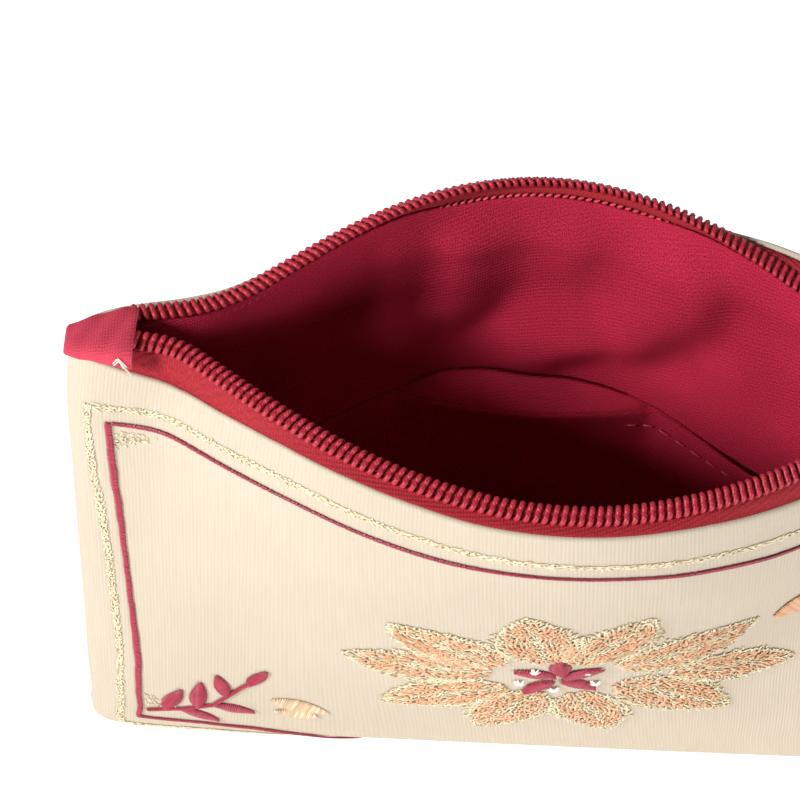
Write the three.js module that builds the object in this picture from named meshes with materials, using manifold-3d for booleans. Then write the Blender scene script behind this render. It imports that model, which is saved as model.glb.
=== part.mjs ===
// A soft zip pouch that stands open: cream outer cloth, crimson lining with a slip pocket, and a coil zip.
// Millimetres, +Z up, front at -Y, origin on the floor under the middle of the pouch.
import * as THREE from "three";
import { LoftGeometry } from "three/addons/geometries/LoftGeometry.js";
import { mergeVertices } from "three/addons/utils/BufferGeometryUtils.js";
import Module from "manifold-3d";

const wasm = await Module();
wasm.setup();

// Mouth: the outer cloth's rim, level at the side seams, with its middle lifted at the back
const RIM_HEIGHT = 92;
const RIM_LIFT = { front: 0, back: 7 };

// Cloth layers, counted inwards from the outer face
const OUTER_CLOTH = 1.1;
const LAYER_GAP = 0.5;
const LINING_CLOTH = 1;
const LINING_FACE = OUTER_CLOTH + LAYER_GAP;
const INNER_FACE = LINING_FACE + LINING_CLOTH;

// Zip: tape strips in the lining's layer, with a round coil row on each
const TAPE_BELOW_RIM = 5;
const TAPE_ABOVE_RIM = 0.8;
const COIL_RADIUS = 1.25;
const COIL_ABOVE_RIM = TAPE_ABOVE_RIM + LAYER_GAP + COIL_RADIUS;
const COIL_INSET = LINING_FACE + LINING_CLOTH / 2;
const COIL_END = 57;
const COIL_SIDES = 8;
const COIL_STEPS = 52;

// Slip pocket on the back wall: doubled cloth, its lip slack in the middle
const POCKET_CLOTH = 1.6;
const POCKET_GAP = 0.5;
const POCKET_FOOT = 0.06;
const POCKET_LIP = 0.64;
const POCKET_LIP_SAG = 0.05;
const POCKET_REACH = 0.86;
const POCKET_SLACK = 7.5;
const POCKET_SLACK_REACH = 0.62;
const POCKET_ROWS = 8;

// Slider, parked at the open end of the zip
const SLIDER_RIGHT = 57.2;
const SLIDER_LENGTH = 7.4;
const SLIDER_WIDTH = 8.8;
const SLIDER_KEEL_WIDTH = 3.4;
const SLIDER_PLATE = 1.1;
const SLIDER_BEVEL = 0.4;
const SLIDER_RISE = 0.7;
const BAIL_RADIUS = 1.9;
const BAIL_WIRE = 0.9;
const BAIL_WIDTH = 2.2;
const PULL_LENGTH = 14.5;
const PULL_WIDTH = 4.6;
const PULL_PLATE = 1;
const PULL_DROP = THREE.MathUtils.degToRad(7);

// Plan of the walls: how far along the seams each panel bows out, and how softly the bow begins
const REACH = { front: { base: 66, rim: 53.4 }, back: { base: 66, rim: 45.8 } };
const EASE = { front: { base: 0.18, rim: 0.12 }, back: { base: 0.2, rim: 0.39 } };
const TIP_POWER = 14;
const SEAM_INSET = 1.6;
const SEAM_INSET_POWER = 8;
const FLOOR_INSET = 1.4;
const THINNEST_END = 0.3;
const FLOOR_LINE_SHARE = 0.97;

// Level sections of the outer face. height is a share of the rim's height, half_width runs to the side seams,
// seam is the seam line's y, end the half thickness beside the seams, front and back the panels' middle y.
const SECTIONS = [
  { height: 0.0, half_width: 63.5, seam: -3.5, end: 1.2, front: -5.0, back: 10.0 },
  { height: 0.02, half_width: 66.4, seam: -3.4, end: 2.8, front: -6.4, back: 12.0 },
  { height: 0.1, half_width: 67.4, seam: -3.1, end: 3.6, front: -8.2, back: 14.5 },
  { height: 0.35, half_width: 68.2, seam: -2.2, end: 3.8, front: -14.0, back: 19.0 },
  { height: 0.7, half_width: 69.2, seam: -1.0, end: 4.0, front: -25.0, back: 26.5 },
  { height: 0.88, half_width: 69.6, seam: -0.4, end: 4.2, front: -29.0, back: 29.8 },
  { height: 1.0, half_width: 69.0, seam: 0.0, end: 4.4, front: -30.6, back: 30.6 },
];

// Soft hollows in the standing cloth. x and spread_x are millimetres, height and spread_height shares of the rim.
const HOLLOWS = [
  { side: "front", x: -41, height: 0.62, spread_x: 13, spread_height: 0.2, depth: 1.6 },
  { side: "front", x: 44, height: 0.58, spread_x: 12, spread_height: 0.22, depth: 1.8 },
  { side: "front", x: 6, height: 0.3, spread_x: 24, spread_height: 0.12, depth: -1.2 },
  { side: "back", x: -30, height: 0.55, spread_x: 12, spread_height: 0.2, depth: 2.0 },
  { side: "back", x: 27, height: 0.6, spread_x: 11, spread_height: 0.22, depth: 2.2 },
];

// Cloth tab over a zip end, along its length. x is from the middle of the pouch, rise from the rim.
const TAB_ROWS = [
  { x: 58.2, rise: 2.1, thickness: 3.0, width: 10.0 },
  { x: 61.0, rise: 2.2, thickness: 3.0, width: 10.2 },
  { x: 64.5, rise: 1.95, thickness: 2.6, width: 9.4 },
  { x: 66.9, rise: 1.55, thickness: 2.0, width: 7.8 },
  { x: 68.5, rise: 1.05, thickness: 1.3, width: 5.4 },
];
const TAB_CORNER = 0.3;

// Mesh steps: columns along each panel, closer together near the seams, and heights up the wall
const PANEL_COLUMNS = 36;
const LINING_TOP = 1 - (TAPE_BELOW_RIM + LAYER_GAP) / RIM_HEIGHT;
const floorHeight = (inset) => (FLOOR_INSET * inset) / RIM_HEIGHT;
const FLOOR_HEIGHTS = [OUTER_CLOTH, LINING_FACE, INNER_FACE].map(floorHeight);
const WALL_HEIGHTS = [0, 0.007, ...FLOOR_HEIGHTS, 0.08, 0.16, 0.26, 0.37, 0.49, 0.61, 0.73, 0.84, LINING_TOP, 1];

const CREAM = { color: 0xe9dcc2, roughness: 0.62, metalness: 0 };
const CRIMSON = { color: 0x9c1a2e, roughness: 0.7, metalness: 0 };
const CRIMSON_COIL = { color: 0xa81d30, roughness: 0.4, metalness: 0 };
const GOLD_METAL = { color: 0xc9a45c, roughness: 0.3, metalness: 1 };

const SECTION_COLUMNS = ["half_width", "seam", "end", "front", "back"];
const sectionSpline = new THREE.CubicInterpolant(
  SECTIONS.map((row) => row.height),
  SECTIONS.flatMap((row) => SECTION_COLUMNS.map((column) => row[column])),
  SECTION_COLUMNS.length,
);

function sectionAt(height) {
  const values = sectionSpline.evaluate(height);
  return Object.fromEntries(SECTION_COLUMNS.map((column, i) => [column, values[i]]));
}

// A parabola over the given reach that eases out to nothing past its ends, 1 in the middle.
function bow(x, reach, ease) {
  const parabola = 1 - (x / reach) ** 2;
  return (parabola + Math.hypot(parabola, ease)) / (1 + Math.hypot(1, ease));
}

function hollowDepth(side, x, height) {
  return HOLLOWS.filter((row) => row.side === side).reduce((sum, row) => {
    const away = ((x - row.x) / row.spread_x) ** 2 + ((height - row.height) / row.spread_height) ** 2;
    return sum + row.depth * Math.exp(-away);
  }, 0);
}

// A point of the wall: across runs from -1 to 1 between the seams, inset is how far inside the outer face.
function wallPoint(side, across, height, inset = 0) {
  const section = sectionAt(height);
  const outward = side === "front" ? -1 : 1;
  const x = (section.half_width - SEAM_INSET * inset * across ** SEAM_INSET_POWER) * across;
  const end = Math.max(section.end - inset, THINNEST_END);
  const reach = THREE.MathUtils.lerp(REACH[side].base, REACH[side].rim, height);
  const ease = THREE.MathUtils.lerp(EASE[side].base, EASE[side].rim, height);
  const middle = Math.abs(section[side] - section.seam) - inset;
  const tip = Math.sqrt(Math.max(1 - Math.abs(across) ** TIP_POWER, 0));
  const depth = end * tip + (middle - end) * bow(x, reach, ease) - hollowDepth(side, x, height) * tip;
  const rim = RIM_HEIGHT + RIM_LIFT[side] * bow(x, REACH[side].rim, EASE[side].rim);
  return new THREE.Vector3(x, section.seam + outward * depth, height * rim);
}

const columns = Array.from({ length: PANEL_COLUMNS + 1 }, (_, i) => -Math.cos((Math.PI * i) / PANEL_COLUMNS));

// One level loop of the wall, counterclockwise from above.
function wallRing(height, inset) {
  const front = columns.slice(0, -1).map((across) => wallPoint("front", across, height, inset));
  const back = columns.slice(1).map((across) => wallPoint("back", across, height, inset));
  return [...front, ...back.reverse()];
}

// The line along the middle of a floor where its front and back halves meet, as a ring folded flat.
function floorLine(ring) {
  return ring.map((point, i) => {
    const facing = ring[(ring.length - i) % ring.length];
    return new THREE.Vector3(point.x * FLOOR_LINE_SHARE, (point.y + facing.y) / 2, (point.z + facing.z) / 2);
  });
}

// An open cloth bag between two insets, from its floor up to a top height.
function bagGeometry(outerInset, innerInset, top) {
  const climb = (inset) => {
    const floor = floorHeight(inset);
    const between = WALL_HEIGHTS.filter((height) => height > floor && height < top);
    const rings = [floor, ...between, top].map((height) => wallRing(height, inset));
    return [floorLine(rings[0]), ...rings];
  };
  return new LoftGeometry([...climb(outerInset), ...climb(innerInset).reverse()]);
}

// The columns of a strip along the mouth, up to the tabs.
const mouthEnd = COIL_END / SECTIONS.at(-1).half_width;
const mouthColumns = [-mouthEnd, ...columns.filter((across) => Math.abs(across) < mouthEnd), mouthEnd];

function tapeGeometry(side) {
  const low = 1 - TAPE_BELOW_RIM / RIM_HEIGHT;
  const rise = new THREE.Vector3(0, 0, TAPE_ABOVE_RIM);
  const sections = mouthColumns.map((across) => [
    wallPoint(side, across, low, LINING_FACE),
    wallPoint(side, across, 1, LINING_FACE),
    wallPoint(side, across, 1, LINING_FACE).add(rise),
    wallPoint(side, across, 1, INNER_FACE).add(rise),
    wallPoint(side, across, 1, INNER_FACE),
    wallPoint(side, across, low, INNER_FACE),
  ]);
  if (side === "front") sections.reverse();
  return new LoftGeometry(sections, { capStart: true, capEnd: true });
}

function coilGeometry(side) {
  const rise = new THREE.Vector3(0, 0, COIL_ABOVE_RIM);
  const path = new THREE.CatmullRomCurve3(
    mouthColumns.map((across) => wallPoint(side, across, 1, COIL_INSET).add(rise)),
  );
  const section = new THREE.Shape().absarc(0, 0, COIL_RADIUS, 0, 2 * Math.PI);
  return new THREE.ExtrudeGeometry(section, {
    steps: COIL_STEPS,
    curveSegments: COIL_SIDES / 2,
    extrudePath: path,
    bevelEnabled: false,
  });
}

// How far the pocket's lip stands off the back wall: slack in the middle, tight at the sides and the foot.
function pocketSlack(across, climb) {
  const middle = Math.max(1 - (across / POCKET_SLACK_REACH) ** 2, 0);
  return POCKET_SLACK * middle ** 1.5 * climb ** 2;
}

function pocketGeometry() {
  const stations = columns.filter((across) => Math.abs(across) <= POCKET_REACH);
  const steps = Array.from({ length: POCKET_ROWS + 1 }, (_, i) => i / POCKET_ROWS);
  const sections = stations.map((across) => {
    const lip = POCKET_LIP - POCKET_LIP_SAG * (across / POCKET_REACH) ** 2;
    const face = (climb, depth) => {
      const height = THREE.MathUtils.lerp(POCKET_FOOT, lip, climb);
      return wallPoint("back", across, height, INNER_FACE + POCKET_GAP + depth + pocketSlack(across, climb));
    };
    const wallSide = steps.map((climb) => face(climb, 0));
    const openSide = steps.map((climb) => face(climb, POCKET_CLOTH));
    return [...wallSide, ...openSide.reverse()];
  });
  return new LoftGeometry(sections, { capStart: true, capEnd: true });
}

function tabGeometry(mirror) {
  const sections = TAB_ROWS.map(({ x, rise, thickness, width }) => {
    const flat = width / 2 - TAB_CORNER * thickness;
    const outline = [
      [flat, -thickness / 2],
      [width / 2, 0],
      [flat, thickness / 2],
      [-flat, thickness / 2],
      [-width / 2, 0],
      [-flat, -thickness / 2],
    ];
    return outline.map(([y, up]) => new THREE.Vector3(mirror * x, y, RIM_HEIGHT + rise + up));
  });
  if (mirror < 0) sections.reverse();
  return new LoftGeometry(sections, { capStart: true, capEnd: true });
}

function weld(geometry) {
  const bare = new THREE.BufferGeometry().setAttribute("position", geometry.getAttribute("position"));
  if (geometry.index) bare.setIndex(geometry.index);
  return mergeVertices(bare, 1e-4);
}

function solidOf(geometry) {
  const welded = weld(geometry);
  return new wasm.Manifold(
    new wasm.Mesh({
      numProp: 3,
      vertProperties: new Float32Array(welded.attributes.position.array),
      triVerts: new Uint32Array(welded.index.array),
    }),
  );
}

function geometryOf(solid) {
  const mesh = solid.getMesh();
  return new THREE.BufferGeometry()
    .setAttribute("position", new THREE.BufferAttribute(mesh.vertProperties, 3))
    .setIndex(new THREE.BufferAttribute(mesh.triVerts, 1));
}

// A plate with rounded ends and softened edges, flat on XY with its middle at the origin.
function roundedPlate(length, width, thickness, bevel) {
  const half = width / 2 - bevel;
  const straight = length / 2 - width / 2;
  const outline = new THREE.Shape()
    .absarc(straight, 0, half, -Math.PI / 2, Math.PI / 2)
    .absarc(-straight, 0, half, Math.PI / 2, (3 * Math.PI) / 2);
  const plate = new THREE.ExtrudeGeometry(outline, {
    depth: thickness - 2 * bevel,
    bevelThickness: bevel,
    bevelSize: bevel,
    bevelSegments: 1,
    curveSegments: 6,
  });
  return plate.translate(0, 0, bevel - thickness / 2);
}

// Top plate over the coil rows, keel plate under them, a post between, and the bail with its flat pull.
function sliderGeometry() {
  const coilHeight = RIM_HEIGHT + COIL_ABOVE_RIM;
  const middle = SLIDER_RIGHT - SLIDER_LENGTH / 2;
  const away = COIL_RADIUS + LAYER_GAP + SLIDER_PLATE / 2;
  const topHeight = coilHeight + away + SLIDER_RISE;
  const top = new THREE.BoxGeometry(SLIDER_LENGTH, SLIDER_WIDTH, SLIDER_PLATE);
  top.translate(middle, 0, topHeight);
  const crown = roundedPlate(SLIDER_LENGTH - SLIDER_BEVEL, SLIDER_WIDTH * 0.72, SLIDER_PLATE, SLIDER_BEVEL);
  crown.translate(middle, 0, topHeight + SLIDER_PLATE * 0.7);
  const keel = new THREE.BoxGeometry(SLIDER_LENGTH * 0.8, SLIDER_KEEL_WIDTH, SLIDER_PLATE);
  keel.translate(middle, 0, coilHeight - away);
  const post = new THREE.CylinderGeometry(BAIL_WIRE, BAIL_WIRE, 2 * away + SLIDER_RISE, 10);
  post.rotateX(Math.PI / 2).translate(middle - SLIDER_LENGTH / 4, 0, coilHeight + SLIDER_RISE / 2);

  const plateTop = topHeight + SLIDER_PLATE * 1.2;
  const arch = new THREE.Shape()
    .absarc(0, 0, BAIL_RADIUS, 0, Math.PI)
    .absarc(0, 0, BAIL_RADIUS - BAIL_WIRE, Math.PI, 0, true);
  const bail = new THREE.ExtrudeGeometry(arch, { depth: BAIL_WIDTH, curveSegments: 10, bevelEnabled: false });
  bail.translate(0, 0, -BAIL_WIDTH / 2).rotateX(Math.PI / 2).translate(middle, 0, plateTop - LAYER_GAP);

  const pull = roundedPlate(PULL_LENGTH, PULL_WIDTH, PULL_PLATE, SLIDER_BEVEL);
  pull.translate(PULL_LENGTH / 2 - PULL_WIDTH / 4, 0, 0).rotateY(PULL_DROP);
  pull.translate(middle, 0, plateTop + BAIL_RADIUS - BAIL_WIRE);
  return geometryOf([top, crown, keel, post, bail, pull].map(solidOf).reduce((sum, next) => sum.add(next)));
}

const pouch = new THREE.Group();

function addPiece(name, geometry, finish) {
  const mesh = new THREE.Mesh(geometry, new THREE.MeshStandardMaterial(finish));
  mesh.name = name;
  pouch.add(mesh);
}

addPiece("outer_shell", bagGeometry(0, OUTER_CLOTH, 1), CREAM);
addPiece("lining", bagGeometry(LINING_FACE, INNER_FACE, LINING_TOP), CRIMSON);
addPiece("slip_pocket", pocketGeometry(), CRIMSON);
for (const side of ["front", "back"]) {
  addPiece(`zip_tape_${side}`, tapeGeometry(side), CRIMSON);
  addPiece(`zip_coil_${side}`, coilGeometry(side), CRIMSON_COIL);
}
addPiece("zip_tab_left", tabGeometry(-1), CRIMSON);
addPiece("zip_tab_right", tabGeometry(1), CRIMSON);
addPiece("zip_slider", sliderGeometry(), GOLD_METAL);

export default pouch;
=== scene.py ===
"""Looks of a small zip pouch standing open: cream cloth, crimson lining, coil zip, embroidery."""

import math

import bpy
import numpy as np
from mathutils import Matrix, Vector


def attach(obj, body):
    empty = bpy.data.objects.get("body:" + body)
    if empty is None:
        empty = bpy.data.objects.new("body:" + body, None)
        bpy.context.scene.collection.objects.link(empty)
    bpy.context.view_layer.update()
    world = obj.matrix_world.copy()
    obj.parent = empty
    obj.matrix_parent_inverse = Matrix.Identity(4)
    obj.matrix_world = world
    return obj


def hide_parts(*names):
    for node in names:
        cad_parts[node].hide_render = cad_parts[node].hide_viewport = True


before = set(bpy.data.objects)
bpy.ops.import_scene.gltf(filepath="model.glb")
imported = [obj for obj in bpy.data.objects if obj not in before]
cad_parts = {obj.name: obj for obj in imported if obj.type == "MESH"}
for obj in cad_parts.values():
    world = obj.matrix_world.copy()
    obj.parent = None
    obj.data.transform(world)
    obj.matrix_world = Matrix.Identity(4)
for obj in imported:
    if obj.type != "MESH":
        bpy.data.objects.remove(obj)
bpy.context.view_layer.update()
chance = np.random.default_rng(7)
MM = 0.001

# The walls' shape, as in the part's source, in millimetres
RIM_HEIGHT = 92.0
RIM_LIFT = {"front": 0.0, "back": 7.0}
REACH = {"front": (66.0, 53.4), "back": (66.0, 45.8)}
EASE = {"front": (0.18, 0.12), "back": (0.2, 0.39)}
TIP_POWER = 14
SEAM_INSET = 1.6
SEAM_INSET_POWER = 8
FLOOR_INSET = 1.4
THINNEST_END = 0.3
FLOOR_LINE_SHARE = 0.97

# height as a share of the rim's, half width, seam y, half thickness at the seams, front y, back y
SECTIONS = np.array([
    (0.0, 63.5, -3.5, 1.2, -5.0, 10.0),
    (0.02, 66.4, -3.4, 2.8, -6.4, 12.0),
    (0.1, 67.4, -3.1, 3.6, -8.2, 14.5),
    (0.35, 68.2, -2.2, 3.8, -14.0, 19.0),
    (0.7, 69.2, -1.0, 4.0, -25.0, 26.5),
    (0.88, 69.6, -0.4, 4.2, -29.0, 29.8),
    (1.0, 69.0, 0.0, 4.4, -30.6, 30.6),
])

# side, x, height share, spread along x, spread in height, depth
HOLLOWS = (
    ("front", -41, 0.62, 13, 0.2, 1.6),
    ("front", 44, 0.58, 12, 0.22, 1.8),
    ("front", 6, 0.3, 24, 0.12, -1.2),
    ("back", -30, 0.55, 12, 0.2, 2.0),
    ("back", 27, 0.6, 11, 0.22, 2.2),
)

RIM_HALF_WIDTH = SECTIONS[-1, 1]
OUTER_CLOTH = 1.1
LINING_FACE = 1.6
INNER_FACE = 2.6

# Folds of the outer cloth: side, start x and z, end x and z, half width, how far it stands out
OUTER_FOLDS = (
    ("front", -58, 20, -44, 12, 5.0, 0.5),
    ("front", -30, 64, -14, 74, 6.0, 0.45),
    ("front", -66, 82, -66, 70, 3.0, 0.6),
    ("front", 22, 30, 40, 18, 7.0, 0.5),
    ("front", 30, 66, 18, 76, 6.0, 0.4),
    ("front", 66, 80, 66, 66, 3.0, 0.5),
    ("back", -50, 70, -30, 82, 6.0, 0.6),
    ("back", 40, 24, 58, 12, 6.0, 0.6),
    ("back", 12, 40, -16, 28, 9.0, 0.7),
)
RIM_BAND_HEIGHT = 4.6
RIM_BAND_PROUD = 0.3
PUCKER = 0.16
PUCKER_PITCH = 6.5
PUCKER_REACH = 5.0
PUCKER_FROM = 68.0

# Folds of the lining, standing in from the wall
LINING_FOLDS = (
    ("back", -3, 83, 16, 84, 14.0, 2.6),
    ("back", -24, 92, -20, 70, 5.0, 1.3),
    ("back", -38, 88, -36, 62, 5.0, 1.2),
    ("back", 2.6, 97, 5, 84, 3.8, 1.2),
    ("back", 32, 74, 44, 66, 7.0, 2.4),
    ("back", 40, 90, 44, 82, 5.0, 1.2),
    ("front", -20, 70, -8, 50, 8.0, 1.4),
    ("front", 24, 66, 16, 44, 8.0, 1.4),
)

# Creased folds of the lining: two half widths, of the flank to the right or below and of the other flank
LINING_PLEATS = (
    ("back", -12.5, 98, -12.0, 76, 9.5, 7.5, 2.0),
    ("back", 9.0, 97, 10, 92, 3.4, 3.4, 1.0),
    ("back", 21.5, 93, 21.5, 81, 8.5, 11.0, 2.6),
    ("back", 21.5, 81, 14.5, 72.5, 8.5, 14.0, 3.4),
    ("back", 14.5, 72.5, 2.0, 66.0, 7.0, 14.0, 2.8),
)
LINING_FLATTENED = 0.9


def section_columns(height):
    """half_width, seam, end, front and back at each height, on a cubic curve through the table's rows."""
    at = SECTIONS[:, 0]
    upper = np.clip(np.searchsorted(at, height, side="right"), 1, len(at) - 1)
    lower = upper - 1
    before = np.where(lower > 0, lower - 1, upper)
    after = np.where(upper < len(at) - 1, upper + 1, lower)
    span = at[upper] - at[lower]
    share = (height - at[lower]) / span
    pull = 0.5 * span / (at[lower] - at[before])
    push = 0.5 * span / (at[after] - at[upper])
    square = share**2
    cube = share**3
    mix = (
        (-pull * (cube - 2 * square + share), before),
        ((1 + pull) * cube - (1.5 + 2 * pull) * square + (pull - 0.5) * share + 1, lower),
        (-(1 + push) * cube + (1.5 + push) * square + 0.5 * share, upper),
        (push * (cube - square), after),
    )
    columns = sum(weight[..., None] * SECTIONS[row, 1:] for weight, row in mix)
    return np.moveaxis(columns, -1, 0)


def bow(x, reach, ease):
    """A parabola over the reach that eases out to nothing past its ends, 1 in the middle."""
    parabola = 1 - (x / reach) ** 2
    return (parabola + np.hypot(parabola, ease)) / (1 + np.hypot(1, ease))


def rim_height(side, x):
    return RIM_HEIGHT + RIM_LIFT[side] * bow(x, REACH[side][1], EASE[side][1])


def wall(side, across, height, inset=0.0, relief=None):
    """Points of a wall, in millimetres: across runs from -1 to 1 between the seams."""
    across, height, inset = np.broadcast_arrays(*(np.asarray(v, float) for v in (across, height, inset)))
    half_width, seam, end, front, back = section_columns(height)
    outward = -1 if side == "front" else 1
    x = (half_width - SEAM_INSET * inset * across**SEAM_INSET_POWER) * across
    end = np.maximum(end - inset, THINNEST_END)
    reach = REACH[side][0] + (REACH[side][1] - REACH[side][0]) * height
    ease = EASE[side][0] + (EASE[side][1] - EASE[side][0]) * height
    middle = np.abs((front if side == "front" else back) - seam) - inset
    tip = np.sqrt(np.maximum(1 - np.abs(across) ** TIP_POWER, 0))
    depth = end * tip + (middle - end) * bow(x, reach, ease)
    for of_side, at_x, at_height, spread_x, spread_height, hollow in HOLLOWS:
        if of_side == side:
            away = ((x - at_x) / spread_x) ** 2 + ((height - at_height) / spread_height) ** 2
            depth = depth - hollow * np.exp(-away) * tip
    if relief is not None:
        depth = depth + relief(side, x, height * RIM_HEIGHT) * tip
    return np.stack([x, seam + outward * depth, height * rim_height(side, x)], axis=-1)


def smooth_step(value, low, high):
    share = np.clip((value - low) / (high - low), 0, 1)
    return share * share * (3 - 2 * share)


def fold_distance(fold, x, z):
    """Distance of points from a fold's line."""
    x0, z0, x1, z1 = fold[1:5]
    length = math.hypot(x1 - x0, z1 - z0)
    dx = (x1 - x0) / length
    dz = (z1 - z0) / length
    along = np.clip((x - x0) * dx + (z - z0) * dz, 0, length)
    return np.hypot(x - x0 - along * dx, z - z0 - along * dz)


def fold_relief(table, side, x, z):
    """How far the soft folds in a table stand off the wall."""
    total = np.zeros_like(x)
    for fold in table:
        if fold[0] == side:
            total = total + fold[6] * np.exp(-((fold_distance(fold, x, z) / fold[5]) ** 2))
    return total


def pleat_relief(table, side, x, z):
    """How far the creased folds in a table stand off the wall."""
    highest = np.zeros_like(x)
    for fold in table:
        if fold[0] == side:
            length = math.hypot(fold[3] - fold[1], fold[4] - fold[2])
            turned = (x - fold[1]) * (fold[4] - fold[2]) - (z - fold[2]) * (fold[3] - fold[1])
            away = np.hypot(fold_distance(fold, x, z), 0.8)
            reach = fold[5] + (fold[6] - fold[5]) * smooth_step(turned / length / away, -1, 1)
            flank = np.maximum(1 - away / reach, 0)
            highest = np.maximum(highest, fold[7] * flank * flank * (3 - 2 * flank))
    return highest


def outer_relief(side, x, z):
    """The outer cloth's folds, its doubled band under the rim and the puckers beside the seams."""
    band_foot = RIM_HEIGHT - RIM_BAND_HEIGHT
    band = RIM_BAND_PROUD * smooth_step(z, band_foot - 1.2, band_foot + 0.6)
    seam_near = np.exp(-np.maximum(PUCKER_FROM - np.abs(x), 0) / PUCKER_REACH)
    pucker = PUCKER * seam_near * np.sin(2 * math.pi * z / PUCKER_PITCH + np.sign(x))
    return fold_relief(OUTER_FOLDS, side, x, z) + band + pucker


def lining_relief(side, x, z):
    """The lining's folds, laid flat towards the rim."""
    standing = fold_relief(LINING_FOLDS, side, x, z) + pleat_relief(LINING_PLEATS, side, x, z)
    return -standing * (1 - LINING_FLATTENED * smooth_step(z, 85, 92))


def deselect_all():
    if bpy.context.object and bpy.context.object.mode != "OBJECT":
        bpy.ops.object.mode_set(mode="OBJECT")
    bpy.ops.object.select_all(action="DESELECT")


def arc_lengths(points):
    steps = np.linalg.norm(np.diff(points, axis=0), axis=1)
    return np.concatenate([[0], np.cumsum(steps)])


def unit(rows):
    return rows / np.linalg.norm(rows, axis=1, keepdims=True)


def along_table(at, lengths, table):
    """A table's rows at given lengths along it."""
    return np.stack([np.interp(at, lengths, column) for column in table.T], axis=1)


def shaped_grid(name, columns, rows, place, measure_row=0.5, measure_column=0.5,
                close_ends=False, drift=None):
    """A grid of cloth put in place by a function of its shares across and up, welded where its edges meet.

    Its UV map holds millimetres along the cloth, measured on one row and one column, plus the grain's drift.
    """
    deselect_all()
    bpy.ops.mesh.primitive_grid_add(x_subdivisions=columns, y_subdivisions=rows, size=2)
    piece = bpy.context.object
    piece.name = name
    mesh = piece.data
    mesh.name = name
    flat = np.empty(3 * len(mesh.vertices))
    mesh.vertices.foreach_get("co", flat)
    share = (flat.reshape(-1, 3)[:, :2] + 1) / 2
    points = place(share[:, 0], share[:, 1])
    column = np.unique(np.round(share[:, 0], 5), return_inverse=True)[1]
    row = np.unique(np.round(share[:, 1], 5), return_inverse=True)[1]
    if close_ends:
        for end in (0, column.max()):
            points[column == end] = points[column == end].mean(axis=0)
    mesh.vertices.foreach_set("co", (points * MM).ravel())
    table = np.empty((row.max() + 1, column.max() + 1, 3))
    table[row, column] = points
    along = arc_lengths(table[round(measure_row * row.max())])
    up = arc_lengths(table[:, round(measure_column * column.max())])
    on_cloth = np.stack([along[column], up[row]], axis=1)
    if drift is not None:
        on_cloth[:, 0] += drift(*on_cloth.T)
    corner = np.empty(len(mesh.loops), int)
    mesh.loops.foreach_get("vertex_index", corner)
    mesh.uv_layers.active.data.foreach_set("uv", on_cloth[corner].ravel())
    bpy.ops.object.mode_set(mode="EDIT")
    bpy.ops.mesh.select_all(action="SELECT")
    bpy.ops.mesh.remove_doubles(threshold=1e-6)
    bpy.ops.mesh.normals_make_consistent(inside=False)
    bpy.ops.object.mode_set(mode="OBJECT")
    bpy.ops.object.shade_smooth()
    return piece


def finish_piece(piece, material, slot, *nodes):
    piece.data.materials.clear()
    piece.data.materials.append(material)
    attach(piece, "root")
    if nodes:
        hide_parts(*nodes)
    return piece


def node(tree, kind, inputs=None, **settings):
    """A shader node with its settings; an input is a value or another node's socket."""
    made = tree.nodes.new(kind)
    for key, value in settings.items():
        setattr(made, key, value)
    for key, value in (inputs or {}).items():
        if isinstance(value, bpy.types.NodeSocket):
            tree.links.new(value, made.inputs[key])
        else:
            made.inputs[key].default_value = value
    return made


def math_node(tree, operation, first, second, third=0.5):
    inputs = {0: first, 1: second, 2: third}
    return node(tree, "ShaderNodeMath", inputs, operation=operation).outputs[0]


def link_outputs(tree, out, **values):
    for name, value in values.items():
        tree.links.new(value, out.inputs[name])
    return tree


def effect_group(name, outputs):
    """An empty shader node group with a Vector input and float outputs."""
    tree = bpy.data.node_groups.new(name, "ShaderNodeTree")
    tree.interface.new_socket("Vector", in_out="INPUT", socket_type="NodeSocketVector")
    for output in outputs:
        tree.interface.new_socket(output, in_out="OUTPUT", socket_type="NodeSocketFloat")
    return tree, tree.nodes.new("NodeGroupInput").outputs[0], tree.nodes.new("NodeGroupOutput")


def stretched_noise(tree, vector, scale, detail=2.0):
    moved = node(tree, "ShaderNodeMapping", {"Vector": vector, "Scale": scale})
    inputs = {"Vector": moved.outputs[0], "Scale": 1.0, "Detail": detail}
    return node(tree, "ShaderNodeTexNoise", inputs).outputs[0]


def bands(tree, vector, spacing, turn=0.0, distortion=0.0):
    """Soft parallel lines, with their spacing in millimetres."""
    mapping = {"Vector": vector, "Rotation": (0, 0, turn)}
    turned = node(tree, "ShaderNodeMapping", mapping, vector_type="TEXTURE")
    wave = node(
        tree,
        "ShaderNodeTexWave",
        {"Vector": turned.outputs[0], "Scale": 2 * math.pi / (20 * spacing), "Distortion": distortion,
         "Detail": 1.0, "Detail Scale": 1.5},
        wave_type="BANDS",
        bands_direction="X",
    )
    return wave.outputs["Fac"]


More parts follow.
